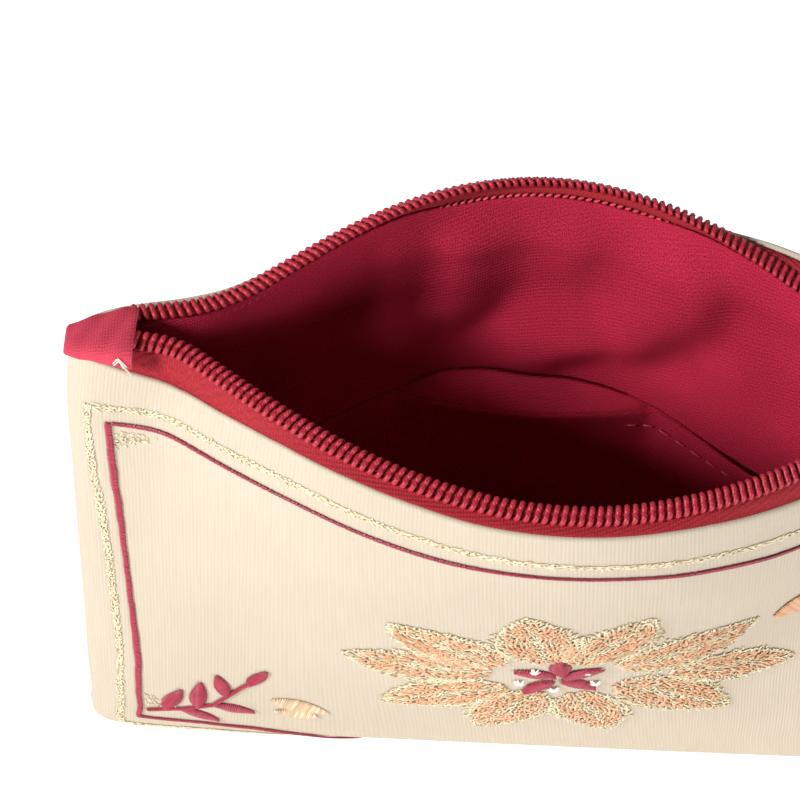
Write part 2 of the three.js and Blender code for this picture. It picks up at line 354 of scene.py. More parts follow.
def ribbed_weave_group():
    """Fine upright ribs with slubs: bump height, a tone that varies along the threads, and a slow mottle."""
    tree, vector, out = effect_group("ribbed_weave", ("Height", "Tone", "Mottle"))
    ribs = bands(tree, vector, 0.56, distortion=0.35)
    weft = bands(tree, vector, 0.5, turn=math.pi / 2, distortion=0.4)
    slub = stretched_noise(tree, vector, (2.2, 0.09, 1.0), 3.0)
    fine = stretched_noise(tree, vector, (5.0, 3.4, 1.0), 1.0)
    crossed = math_node(tree, "MULTIPLY_ADD", weft, 0.3, ribs)
    height = math_node(tree, "MULTIPLY_ADD", slub, 0.9, crossed)
    uneven = math_node(tree, "MULTIPLY", math_node(tree, "ADD", slub, fine), 0.45)
    tone = math_node(tree, "MULTIPLY_ADD", ribs, 0.26, uneven)
    mottle = stretched_noise(tree, vector, (0.05, 0.035, 1.0), 2.0)
    return link_outputs(tree, out, Height=height, Tone=tone, Mottle=mottle)


def twill_weave_group():
    """Fine twill with light flecks: bump height, tone and a slow mottle."""
    tree, vector, out = effect_group("twill_weave", ("Height", "Tone", "Mottle"))
    twill = bands(tree, vector, 0.58, turn=math.radians(104), distortion=0.5)
    warp = bands(tree, vector, 0.42, turn=math.radians(3), distortion=0.8)
    fleck = stretched_noise(tree, vector, (6.4, 5.2, 1.0), 2.0)
    crossed = math_node(tree, "MULTIPLY_ADD", warp, 0.55, twill)
    height = math_node(tree, "MULTIPLY_ADD", fleck, 0.7, crossed)
    speck = math_node(tree, "MULTIPLY_ADD", fleck, 2.4, -0.83)
    tone = math_node(tree, "MULTIPLY_ADD", crossed, 0.1, speck)
    mottle = stretched_noise(tree, vector, (0.07, 0.06, 1.0), 3.0)
    return link_outputs(tree, out, Height=height, Tone=tone, Mottle=mottle)


def thread_twist_group():
    """The ply twist of a thread, along UV maps whose first value runs round it."""
    tree, vector, out = effect_group("thread_twist", ("Height", "Tone"))
    twist = bands(tree, vector, 0.5, turn=math.radians(30))
    fibre = stretched_noise(tree, vector, (6.0, 1.2, 1.0), 2.0)
    tone = math_node(tree, "MULTIPLY", math_node(tree, "ADD", twist, fibre), 0.5)
    return link_outputs(tree, out, Height=twist, Tone=tone)


RIBBED = ribbed_weave_group()
TWILL = twill_weave_group()
TWIST = thread_twist_group()


def new_material(name, roughness, **constants):
    material = bpy.data.materials.new(name)
    material.use_nodes = True
    tree = material.node_tree
    shader = tree.nodes["Principled BSDF"]
    shader.inputs["Roughness"].default_value = roughness
    for key, value in constants.items():
        shader.inputs[key.replace("_", " ")].default_value = value
    return material, tree, shader


def weave_of(tree, group):
    place = node(tree, "ShaderNodeUVMap")
    return node(tree, "ShaderNodeGroup", {"Vector": place.outputs[0]}, node_tree=group)


def two_tone(tree, factor, dark, light):
    ramp = node(tree, "ShaderNodeMix", {"Factor": factor}, data_type="RGBA")
    for socket, colour in ((6, dark), (7, light)):
        ramp.inputs[socket].default_value = (*colour, 1)
    return ramp.outputs[2]


def bump(tree, shader, height, depth_mm, strength=1.0):
    made = node(tree, "ShaderNodeBump", {"Height": height, "Distance": depth_mm * MM, "Strength": strength})
    tree.links.new(made.outputs[0], shader.inputs["Normal"])


def cloth_material(name, group, shadow_dye, light_dye, depth_mm, roughness, **constants):
    """Woven cloth: the weave sets bump and thread tone, and a slow mottle shifts the dye."""
    material, tree, shader = new_material(name, roughness, **constants)
    weave = weave_of(tree, group)
    mottle = math_node(tree, "MULTIPLY", weave.outputs["Mottle"], 0.35)
    mixed = math_node(tree, "MULTIPLY_ADD", weave.outputs["Tone"], 0.85, mottle)
    tree.links.new(two_tone(tree, mixed, shadow_dye, light_dye), shader.inputs["Base Color"])
    bump(tree, shader, weave.outputs["Height"], depth_mm)
    return material


def thread_material(name, dark, light, roughness, **constants):
    """Sewing thread whose stitches differ in tone, with its ply twist; in the crimson border the tone is
    partly painted sheen.
    """
    material, tree, shader = new_material(name, roughness, **constants)
    twist = weave_of(tree, TWIST)
    own = node(tree, "ShaderNodeAttribute", attribute_name="tone")
    own_tone = math_node(tree, "MULTIPLY", own.outputs["Fac"], 0.75)
    tone = math_node(tree, "MULTIPLY_ADD", twist.outputs["Tone"], 0.35, own_tone)
    tree.links.new(two_tone(tree, tone, dark, light), shader.inputs["Base Color"])
    bump(tree, shader, twist.outputs["Height"], 0.05, 0.6)
    return material


# name, weave, dark and light dye, bump depth in millimetres, roughness, specular level
CREAM_CLOTH, CRIMSON_LINING, POCKET_LINING_PAINTED_LIT, CRIMSON_TAB, CRIMSON_TAPE = (
    cloth_material(*cloth, Specular_IOR_Level=gloss)
    for *cloth, gloss in (
        ("cream_ribbed_cloth", RIBBED, (0.378, 0.31, 0.226), (0.522, 0.45, 0.357), 0.024, 0.75, 0.25),
        ("crimson_twill", TWILL, (0.055, 0.0005, 0.0027), (0.64, 0.027, 0.076), 0.042, 0.85, 0.12),
        # the pocket's back layer: the lining's twill dyed lighter, painted light on the lit band at the top
        # of the pocket's fold
        ("crimson_lining_painted_lit", TWILL, (0.09, 0.0013, 0.006), (0.8, 0.042, 0.106), 0.05, 0.85, 0.12),
        ("crimson_tab_cloth", TWILL, (0.29, 0.013, 0.03), (0.64, 0.064, 0.11), 0.05, 0.8, 0.2),
        ("crimson_tape_cloth", TWILL, (0.16, 0.003, 0.008), (0.41, 0.026, 0.037), 0.06, 0.75, 0.18),
    )
)

# name, dark and light dye, roughness, other shader values
CRIMSON_COIL, GOLD_THREAD, COPPER_THREAD, CRIMSON_THREAD, CREAM_THREAD = (
    thread_material(*thread, **constants)
    for *thread, constants in (
        ("crimson_nylon", (0.33, 0.01, 0.024), (0.62, 0.062, 0.096), 0.45, {"Specular_IOR_Level": 0.4}),
        ("gold_thread", (0.45, 0.35, 0.19), (0.78, 0.69, 0.48), 0.4, {"Metallic": 0.15}),
        ("copper_thread", (0.47, 0.22, 0.105), (0.72, 0.42, 0.24), 0.45, {"Metallic": 0.1}),
        ("crimson_thread", (0.17, 0.005, 0.017), (0.4, 0.02, 0.055), 0.42, {}),
        ("cream_thread", (0.72, 0.62, 0.47), (0.93, 0.87, 0.75), 0.5, {}),
    )
)

# Outer cloth and lining: rows run from the floor's middle up the outside, over the fold and down inside
PANEL_COLUMNS = 120
SEAM_CROWDING = 0.6
BASE_HOLLOW = 0.8
BASE_HOLLOW_SHARE = 0.12


def base_lift(floor_share):
    """The base is a little hollow, so that it rests on its edge."""
    return BASE_HOLLOW * np.minimum(floor_share / BASE_HOLLOW_SHARE, 1)


def column_place(share_across):
    """The panel that each share round the bag falls on, and its place between the seams."""
    half = np.where(share_across <= 0.5, share_across, 1 - share_across) * 4 - 1
    across = (1 - SEAM_CROWDING) * half + SEAM_CROWDING * np.sin(half * math.pi / 2)
    return share_across <= 0.5, np.clip(across, -1, 1)


def bag_piece(name, outer, inner, top_drop, relief, wall_rows, inner_rows,
              step_in=None, back_top=None, front_dip=None, drift=None):
    """An open cloth bag between two insets. top_drop is how far its folded top lies under the rim."""
    fold = (inner - outer) / 2
    floor_out = FLOOR_INSET * outer / RIM_HEIGHT
    floor_in = FLOOR_INSET * inner / RIM_HEIGHT
    top = 1 - (fold + top_drop) / RIM_HEIGHT
    near_floor = floor_out + np.array([0.004, 0.01, 0.018, 0.028, 0.042, 0.06])
    climb = np.concatenate([[floor_out], near_floor, np.linspace(floor_out + 0.078, top, wall_rows)])
    descent = np.linspace(top, floor_in, inner_rows)
    turn = np.linspace(0, math.pi, 7)[1:-1]
    floor_steps = np.array([1, 0.75, 0.5, 0.25, 0.12, 0.05])

    def row_set(*columns):
        return np.stack(np.broadcast_arrays(*columns), axis=1)

    rows = np.concatenate([
        row_set(floor_steps, floor_out, outer, 0),
        row_set(0, climb, outer, 0),
        row_set(0, top, outer + fold * (1 - np.cos(turn)), fold * np.sin(turn)),
        row_set(0, descent, inner, 0),
        row_set(1 - floor_steps, floor_in, inner, 0)[1:],
        [[1, floor_in, inner, 0]],
    ])

    def place(share_across, share_up):
        row = np.rint(share_up * (len(rows) - 1)).astype(int)
        floor_share, height, inset, lift = rows[row].T
        if step_in is not None:
            inset = inset + step_in(height)
        on_front, across = column_place(share_across)
        front = wall("front", across, height, inset, relief)
        back = wall("back", across, height, inset, relief)
        points = np.where(on_front[:, None], front, back)
        if back_top is not None:
            share = np.where(on_front, 0, smooth_step(height, 0.84, 1))
            points = points + back_top(points[:, 0], across) * share[:, None]
        if front_dip is not None:
            share = np.where(on_front, smooth_step(height, 0.92, 1), 0)
            points[:, 2] -= front_dip(points[:, 0]) * share
        points = np.where(np.abs(across[:, None]) == 1, (front + back) / 2, points)
        line = (front + back) / 2 * (FLOOR_LINE_SHARE, 1, 1)
        points = points + (line - points) * floor_share[:, None]
        points[:, 2] += lift + base_lift(floor_share)
        return points

    outside = len(floor_steps) + 0.5 * len(climb)
    return shaped_grid(name, 2 * PANEL_COLUMNS, len(rows) - 1, place, outside / len(rows), 0.25, drift=drift)


# How far the back cloth's rim stands up at each x, and the share of that by which it also rolls out
ROLL_X = (-69, -58, -51, -44, -30, 10, 21, 27, 33, 38, 50, 60, 69)
ROLL_RISE = (1.0, 1.5, 1.6, 1.4, 0.5, 0.4, 0.7, 1.8, 3.6, 4.9, 5.6, 4.0, 1.5)
ROLL_OUT = 0.6


def rim_roll(x, across):
    """The shift of the back cloth's rim, up and out."""
    rise = np.interp(x, ROLL_X, ROLL_RISE) * (1 - np.abs(across) ** 24)
    return np.stack([0 * rise, ROLL_OUT * rise, rise], axis=1)


# How far the front cloth's rim dips at each x
DIP_X = (-67, -62, -58, -53, -48, -43, -38, -28, -20, -12, 14, 20, 27, 33, 40, 55, 67)
DIP = (0, 0.9, 1.8, 2.6, 2.0, 0.9, 0.1, -0.4, -0.4, 0, 0, 0.3, 1.1, 1.8, 2.1, 1.4, 0)


def rim_dip(x):
    return np.interp(x, DIP_X, DIP)


# Lean of the outer cloth's ribs at each distance along it from the left seam
LEAN_ALONG = (0, 30, 57, 91, 105, 150, 185, 300)
LEAN = (0.0, 0.0, 0.11, 0.18, 0.21, 0.2, 0.0, 0.0)
LEAN_FROM = 98.0


def rib_drift(along, up):
    return np.interp(along, LEAN_ALONG, LEAN) * (up - LEAN_FROM)


outer_cloth = finish_piece(
    bag_piece("outer_cloth", 0.0, OUTER_CLOTH, 0.0, outer_relief, 76, 22,
              back_top=rim_roll, front_dip=rim_dip, drift=rib_drift),
    CREAM_CLOTH, "cream_cloth", "outer_shell",
)

LINING_CLOTH = 0.7
LINING_TOP_DROP = -0.3
LINING_STEP = 0.75
LINING_RISE = 1.3


def lining_step(height):
    """The lining's top steps in over the zip tape."""
    return LINING_STEP * smooth_step(height, 0.9, 0.955)


def lining_top(x, across):
    """The lining's back edge climbs to the coil beside the middle of the mouth."""
    rise = LINING_RISE * smooth_step(np.abs(x), 12, 24) * (1 - np.abs(across) ** 24)
    return np.stack([0 * rise, 0 * rise, rise], axis=1)


lining_cloth = finish_piece(
    bag_piece("lining_cloth", LINING_FACE + 0.15, LINING_FACE + 0.15 + LINING_CLOTH, LINING_TOP_DROP,
              lining_relief, 70, 80, lining_step, lining_top),
    CRIMSON_LINING, "crimson_lining", "lining",
)

# Slip pocket: across and height of its lip where it lies on the wall
POCKET_LIP = np.array([
    (-0.86, 55.5),
    (-0.7, 57.5),
    (-0.5, 60.2),
    (-0.4, 62.0),
    (-0.3, 63.4),
    (-0.2, 63.8),
    (0.0, 63.8),
    (0.2, 63.9),
    (0.28, 64.0),
    (0.36, 62.4),
    (0.44, 60.4),
    (0.54, 58.4),
    (0.68, 57.0),
    (0.86, 55.5),
])
POCKET_CLOTH = 1.1
POCKET_FOOT = 5.6
POCKET_REACH = 0.86
POCKET_SLACK = 7.2
POCKET_SLACK_REACH = 0.29
POCKET_GAPE = 2.6
POCKET_GAPE_AT = 0.56
POCKET_GAPE_REACH = 0.1
POCKET_LEAST = 0.65
POCKET_TUCK = 1.7
POCKET_TUCK_FREE = 0.5
POCKET_EDGE = 28
POCKET_EDGE_FREE = 130
POCKET_ROLL = 0.7
POCKET_ROLL_SHARE = 0.02
POCKET_COLUMNS = 150
POCKET_ROWS = 30
POCKET_BACK_TOP = np.array([
    (-0.4, 61.0), (-0.3, 63.6), (-0.21, 66.4), (-0.06, 66.6),
    (0.09, 65.6), (0.2, 65.2), (0.29, 64.4), (0.4, 61.0),
])
POCKET_BACK_REACH = 0.38
POCKET_BACK_CLOTH = 0.6
POCKET_BACK_LEAN = 0.5
POCKET_BACK_BEHIND = 0.85
POCKET_BACK_DROP = 8.0
POCKET_BACK_OFF = 0.12


def smooth_table(table, at, spread):
    """A table's second column at given places, blended over a spread."""
    fine = np.linspace(table[0, 0], table[-1, 0], 400)
    value = np.interp(fine, table[:, 0], table[:, 1])
    near = np.exp(-(((at[:, None] - fine[None, :]) / spread) ** 2))
    return (near * value).sum(axis=1) / near.sum(axis=1)


def pocket_slack(across):
    """How far the pocket's lip sags off the wall, in millimetres."""
    sag = POCKET_SLACK * np.maximum(1 - (across / POCKET_SLACK_REACH) ** 2, 0) ** 0.8
    return sag + POCKET_GAPE * np.exp(-(((across - POCKET_GAPE_AT) / POCKET_GAPE_REACH) ** 2))


def pocket_lip(across):
    """How far the pocket's lip lies off the wall, and its height."""
    slack = pocket_slack(across)
    off = np.hypot(slack, POCKET_LEAST)
    return off, smooth_table(POCKET_LIP, across, 0.03) + 1.14 * (off - slack)


def pocket_off(lip_off, climb):
    return 0.65 + (lip_off - 0.65) * (0.35 * climb**2 + 0.65 * climb**7)


def off_back_lining(across, z, off):
    """Points at a distance off the lining's back wall, at given heights."""
    height = z / rim_height("back", across * RIM_HALF_WIDTH)
    return wall("back", across, height, INNER_FACE + off, lining_relief)


def doubled(share_up):
    """Whether a place on a doubled cloth is on its front face, and how far up it lies."""
    round_way = share_up * 2
    return round_way <= 1, np.where(round_way <= 1, round_way, 2 - round_way)


def pocket_face(across, climb, off_middle):
    """The pocket's cloth from its foot (0) to its lip (1)."""
    lip_off, lip_z = pocket_lip(across)
    z = POCKET_FOOT + (lip_z - POCKET_FOOT) * climb
    return off_back_lining(across, z, pocket_off(lip_off, climb) + off_middle)


def pocket_place(share_across, share_up):
    across = (share_across * 2 - 1) * POCKET_REACH
    in_front, up = doubled(share_up)
    climb = 1 - (1 - up) ** 1.8
    free = np.minimum(pocket_slack(across) / 2, 1)
    edge = climb ** (POCKET_EDGE + (POCKET_EDGE_FREE - POCKET_EDGE) * free)
    closing = (1 - edge) * (1 - (1 - climb) ** 40) * (1 - np.abs(share_across * 2 - 1) ** 60)
    closed = 1 - np.sqrt(np.maximum(1 - edge, 0))
    tuck = POCKET_TUCK + (POCKET_TUCK_FREE - POCKET_TUCK) * free
    roll = 1 + POCKET_ROLL * (1 - free) * np.exp(-(((1 - climb) / POCKET_ROLL_SHARE) ** 2))
    thick = np.sqrt(np.maximum(closing, 0)) * np.where(in_front, roll, -1) - tuck * closed
    return pocket_face(across, climb, POCKET_CLOTH / 2 * thick)


def pocket_back_place(share_across, share_up):
    """The pocket's back layer: it leans out from the lining to the sagging lip and hangs behind it."""
    across = (share_across * 2 - 1) * POCKET_BACK_REACH
    top = smooth_table(POCKET_BACK_TOP, across, 0.03)
    lip_off, lip_z = pocket_lip(across)
    in_front, up = doubled(share_up)
    closing = (1 - up**30) * (1 - (1 - up) ** 30) * (1 - np.abs(share_across * 2 - 1) ** 40)
    thick = POCKET_BACK_CLOTH / 2 * np.sqrt(np.maximum(closing, 0)) * np.where(in_front, 1, -1)
    lean = np.minimum((1 - up) / POCKET_BACK_LEAN, 1)
    hang = np.maximum((1 - up - POCKET_BACK_LEAN) / (1 - POCKET_BACK_LEAN), 0)
    climb = 1 - POCKET_BACK_DROP * hang / (lip_z - POCKET_FOOT)
    behind = np.maximum(pocket_off(lip_off, climb) - POCKET_BACK_BEHIND, POCKET_BACK_OFF)
    curve = lean * math.pi / 2
    off = POCKET_BACK_OFF + (behind - POCKET_BACK_OFF) * (lean + np.sin(curve)) / 2
    z = top + (lip_z - 0.3 - top) * (lean + 1 - np.cos(curve)) / 2 - POCKET_BACK_DROP * hang
    return off_back_lining(across, z, off + thick)


slip_pocket = finish_piece(
    shaped_grid("slip_pocket_cloth", POCKET_COLUMNS, 2 * POCKET_ROWS, pocket_place, 0.3, 0.5),
    CRIMSON_LINING, "crimson_lining", "slip_pocket",
)

# The back layer wears a lighter copy of the lining's twill: painted light on the band lit at the top of the
# pocket's fold.
pocket_back = finish_piece(
    shaped_grid("slip_pocket_back_cloth", 70, 40, pocket_back_place, 0.3, 0.5),
    POCKET_LINING_PAINTED_LIT, "crimson_lining",
)

# Tape profiles: inset, height over the rim, share of the coil's climb (front) or of the rim's roll (back)
TAPE_PROFILE = {
    "front": np.array([
        (1.62, -4.8, 0.0),
        (1.4, -1.4, 0.0),
        (0.9, -0.55, 0.0),
        (0.3, -0.05, 0.0),
        (0.55, 0.16, 0.0),
        (0.95, 0.32, 0.15),
        (1.6, 0.5, 0.55),
        (2.3, 0.62, 0.9),
        (3.0, 0.7, 1.0),
        (3.55, 0.55, 1.0),
        (3.5, 0.36, 0.95),
        (2.9, 0.4, 0.7),
        (2.42, 0.2, 0.3),
        (2.36, -1.6, 0.0),
        (2.3, -4.8, 0.0),
        (1.96, -4.95, 0.0),
    ]),
    "back": np.array([
        (1.62, -4.8, 0.4),
        (1.45, -1.2, 0.9),
        (1.12, -0.3, 0.95),
        (1.0, 0.5, 0.8),
        (1.2, 1.2, 0.55),
        (1.7, 1.85, 0.25),
        (2.3, 2.1, 0.05),
        (2.7, 1.6, 0.0),
        (2.6, 0.6, 0.0),
        (2.45, -0.4, 0.0),
        (2.36, -1.6, 0.0),
        (2.3, -4.8, 0.2),
        (1.96, -4.95, 0.3),
    ]),
}
MOUTH_END = 61.4
TAPE_COLUMNS = 220
COIL_INSET = {"front": 2.9, "back": 2.2}
COIL_ABOVE_RIM = {"front": 1.25, "back": 2.6}
COIL_CLIMB_X = (-62, -40, -22, -8, 4, 18, 40, 62)
COIL_CLIMB = (1.35, 1.43, 0.75, 0.1, 0.0, 0.55, 0.75, 1.35)
COIL_PITCH = 1.2
COIL_HALF_WIDTH = 1.12
COIL_HALF_HEIGHT = {"front": 0.6, "back": 0.5}
COIL_DENT = 0.6
COIL_DENT_WIDTH = 0.42
COIL_WIRE = 0.39
COIL_TILT_X = (-62, -45, -25, -5, 10, 26, 42)
COIL_TILT = {"front": (24, 24, 24, 24, 24, 24, 24), "back": (-5, 6, 26, 45, 45, 5, -24)}
COIL_STEPS = 20
COIL_SIDES = 6
CORE_HALF_WIDTH = 0.7
CORE_HALF_HEIGHT = 0.22


def coil_climb(x):
    """How far the front coil stands above its lowest place, the middle of the mouth."""
    return np.interp(x, COIL_CLIMB_X, COIL_CLIMB)


def tape_piece(side):
    profile = np.concatenate([TAPE_PROFILE[side], TAPE_PROFILE[side][:1]])

    def place(share_along, share_round):
        across = (share_along * 2 - 1) * MOUTH_END / RIM_HALF_WIDTH
        row = np.rint(share_round * (len(profile) - 1)).astype(int)
        inset, above, share = profile[row].T
        points = wall(side, across, 1 + np.minimum(above, 0) / RIM_HEIGHT, inset)
        points[:, 2] += np.maximum(above, 0)
        if side == "front":
            points[:, 2] += coil_climb(points[:, 0]) * share
            edge = np.interp(inset, (0.62, 1.6), (1, 0)) * (above > -2)
            points[:, 2] -= rim_dip(points[:, 0]) * edge
            return points
        share = share * (1 - smooth_step(np.abs(points[:, 0]), 48, 58))
        return points + rim_roll(points[:, 0], across) * share[:, None]

    name = f"zip_tape_{side}_cloth"
    return shaped_grid(name, TAPE_COLUMNS, len(profile) - 1, place, 0.2, 0.5, close_ends=True)


def mouth_line(side, inset, above, count=1201):
    """Points along a mouth edge, evenly spaced, with the directions along it, out of the mouth and up."""
    across = np.linspace(-1, 1, count) * MOUTH_END / RIM_HALF_WIDTH
    points = wall(side, across, 1, inset)
    points[:, 2] += above
    if side == "front":
        points[:, 2] += coil_climb(points[:, 0])
    length = arc_lengths(points)
    even = np.linspace(0, length[-1], count)
    points = along_table(even, length, points)
    along = unit(np.gradient(points, axis=0))
    facing = 1 if side == "front" else -1
    outward = unit(np.cross(along, (0, 0, 1)) * facing)
    up = np.cross(outward, along) * facing
    return even, points, along, outward, up


def coil_piece(side):
    """A row of nylon loops wound as one flattened coil, sewn down along its middle, tilted on the tape."""
    even, middle, along, outward, up = mouth_line(side, COIL_INSET[side], COIL_ABOVE_RIM[side])
    turns = even[-1] / COIL_PITCH
    steps = round(turns * COIL_STEPS)
    lean = np.radians(np.interp(middle[:, 0], COIL_TILT_X, COIL_TILT[side]))[:, None]
    wide = outward * np.cos(lean) - up * np.sin(lean)
    tall = outward * np.sin(lean) + up * np.cos(lean)

    def at(table, where):
        return along_table(where, even, table)

    def wire(where):
        phase = 2 * math.pi * where / COIL_PITCH
        dent = COIL_DENT * np.exp(-((np.cos(phase) / COIL_DENT_WIDTH) ** 2)) * (np.sin(phase) > 0)
        return (
            at(middle, where)
            + at(wide, where) * (COIL_HALF_WIDTH * np.cos(phase))[:, None]
            + at(tall, where) * (COIL_HALF_HEIGHT[side] * np.sin(phase) * (1 - dent))[:, None]
        )

    def place(share_along, share_round):
        where = share_along * even[-1]
        ahead = unit(wire(where + 0.01) - wire(where - 0.01))
        side_way = unit(np.cross(ahead, at(along, where)))
        other_way = np.cross(ahead, side_way)
        angle = 2 * math.pi * share_round[:, None]
        return wire(where) + COIL_WIRE * (np.cos(angle) * side_way + np.sin(angle) * other_way)

    def place_core(share_along, share_round):
        where = share_along * even[-1]
        angle = 2 * math.pi * share_round[:, None]
        sideways = CORE_HALF_WIDTH * np.cos(angle) * at(wide, where)
        upwards = CORE_HALF_HEIGHT * np.sin(angle) * at(tall, where)
        return at(middle, where) + sideways + upwards

    loops = shaped_grid(f"zip_coil_{side}_loops", steps, COIL_SIDES, place, 0.5, 0.5, close_ends=True)
    core = shaped_grid(f"zip_coil_{side}_core", 160, 8, place_core, 0.5, 0.5, close_ends=True)
    return loops, core


zip_pieces = []
for side in ("front", "back"):
    zip_pieces.append(finish_piece(tape_piece(side), CRIMSON_TAPE, "crimson_tape", f"zip_tape_{side}"))
    loops, core = coil_piece(side)
    zip_pieces.append(finish_piece(loops, CRIMSON_COIL, "crimson_coil", f"zip_coil_{side}"))
    zip_pieces.append(finish_piece(core, CRIMSON_TAPE, "crimson_coil"))

# Tab over a zip end: x, middle height over the rim, thickness, width
TAB_ROWS = np.array([
    (59.5, 2.5, 3.0, 10.2),
    (60.2, 2.55, 3.1, 10.3),
    (61.6, 2.4, 2.9, 9.9),
    (63.5, 2.1, 2.5, 8.8),
    (66.0, 1.6, 2.1, 7.4),
    (68.2, 1.05, 1.6, 6.0),
    (69.2, 0.8, 1.2, 5.3),
    (69.5, 0.7, 0.5, 4.6),
])
TAB_SKEW = 0.035
TAB_FORWARD = 0.8
TAB_COLUMNS = 30
TAB_SIDES = 44
TAB_CLOTH = 0.55


def tab_piece(mirror):
    """A strip of twill folded over the zip's end, open towards the coil rows."""

    def place(share_along, share_round):
        steps = np.linspace(0, 1, len(TAB_ROWS))
        x, rise, thick, width = (np.interp(share_along, steps, TAB_ROWS[:, i]) for i in range(4))
        angle = 2 * math.pi * share_round
        square = (np.abs(np.cos(angle)) ** 5 + np.abs(np.sin(angle)) ** 5) ** -0.2
        y = width / 2 * np.cos(angle) * square
        droop = -0.5 * (2 * y / width) ** 4
        wave = 0.12 * np.sin(x * 1.7 + y * 0.8)
        z = RIM_HEIGHT + rise + thick / 2 * np.sin(angle) * square + droop + wave
        x = x - TAB_SKEW * y * (1 - share_along)
        return np.stack([mirror * x, y - TAB_FORWARD * (1 - 0.7 * share_along), z], axis=1)

    name = "zip_tab_left_cloth" if mirror < 0 else "zip_tab_right_cloth"
    piece = shaped_grid(name, TAB_COLUMNS, TAB_SIDES, place, 0.25, 0.3)
    wall_of = piece.modifiers.new("cloth", "SOLIDIFY")
    wall_of.thickness = TAB_CLOTH * MM
    wall_of.offset = -1
    bpy.ops.object.modifier_apply(modifier="cloth")
    return piece


for mirror, node_name in ((-1, "zip_tab_left"), (1, "zip_tab_right")):
    zip_pieces.append(finish_piece(tab_piece(mirror), CRIMSON_TAB, "crimson_tape", node_name))


# Embroidery is laid out on the front panel: s along the cloth from its middle, d down the cloth from the rim
PANEL_ACROSS = np.linspace(-1, 1, 321)
PANEL_HEIGHT = np.linspace(0, 1, 161)
PANEL_TALL = 94.0
PANEL_HALF_WIDE = 72.0


def panel_tables():
    points = wall("front", PANEL_ACROSS[None, :], PANEL_HEIGHT[:, None], 0, outer_relief)
    steps = np.linalg.norm(np.diff(points, axis=1), axis=2)
    along = np.concatenate([np.zeros((len(PANEL_HEIGHT), 1)), np.cumsum(steps, axis=1)], axis=1)
    along -= along[:, [len(PANEL_ACROSS) // 2]]
    steps = np.linalg.norm(np.diff(points, axis=0), axis=2)
    down = np.concatenate([np.cumsum(steps[::-1], axis=0)[::-1], np.zeros((1, len(PANEL_ACROSS)))], axis=0)
    return along, down


PANEL_ALONG, PANEL_DOWN = panel_tables()


def table_row(table, height):
    """A table's row at a height share, between its two nearest rows."""
    at = height * (len(table) - 1)
    low = min(int(at), len(table) - 2)
    return table[low] + (table[low + 1] - table[low]) * (at - low)


def panel_place(s, d):
    """across and height of a point given by s and d."""
    height = 1 - d / PANEL_TALL
    across = s / PANEL_HALF_WIDE
    for _ in range(4):
        across = np.interp(s, table_row(PANEL_ALONG, height), PANEL_ACROSS)
        column = np.interp(across, PANEL_ACROSS, np.arange(len(PANEL_ACROSS)))
        low = min(int(column), len(PANEL_ACROSS) - 2)
        down = PANEL_DOWN[:, low] + (PANEL_DOWN[:, low + 1] - PANEL_DOWN[:, low]) * (column - low)
        height = np.interp(-d, -down, PANEL_HEIGHT)
    return across, height


def seam_distance_place(from_seam, d, end):
    """across and height of a point given by its distance from the left (-1) or right (1) side seam."""
    height = 1 - d / PANEL_TALL
    for _ in range(3):
        row = table_row(PANEL_ALONG, height)
        across, height = panel_place(end * (row[-1] - from_seam), d)
    return across, height


def cloth_points(places):
    """Points and outward directions of the front panel; a height under 0 runs in beneath the base."""
    across, height = np.asarray(places, float).T
    under = np.clip(-height * RIM_HEIGHT / 7.5, 0, 1)
    height = np.maximum(height, 0)
    points = wall("front", across, height, 0, outer_relief)
    line = (points + wall("back", across, height, 0, outer_relief)) / 2 * (FLOOR_LINE_SHARE, 1, 1)
    step = 1e-3
    right, left, above, below = (
        wall("front", at_across, at_height, 0, outer_relief)
        for at_across, at_height in (
            (across + step, height),
            (across - step, height),
            (across, height + step),
            (across, np.maximum(height - step, 0)),
        )
    )
    out = unit(np.cross(right - left, above - below))
    points = points + (line - points) * under[:, None]
    points[:, 2] += base_lift(under)
    out = np.where(under[:, None] > 0, (0, 0, -1), out)
    return points, out


def stitch_shape():
    """One stitch: a six-sided spindle from -1 to 1 along Z."""
    deselect_all()
    bpy.ops.mesh.primitive_uv_sphere_add(segments=6, ring_count=5, radius=1)
    ball = bpy.context.object
    corners = np.array([v.co for v in ball.data.vertices])
    faces = [tuple(face.vertices) for face in ball.data.polygons]
    bpy.ops.object.delete()
    corners[:, 2] = np.sign(corners[:, 2]) * np.abs(corners[:, 2]) ** 0.75
    return corners, faces


STITCH, STITCH_FACES = stitch_shape()
FLOOR_CLEAR = 0.03


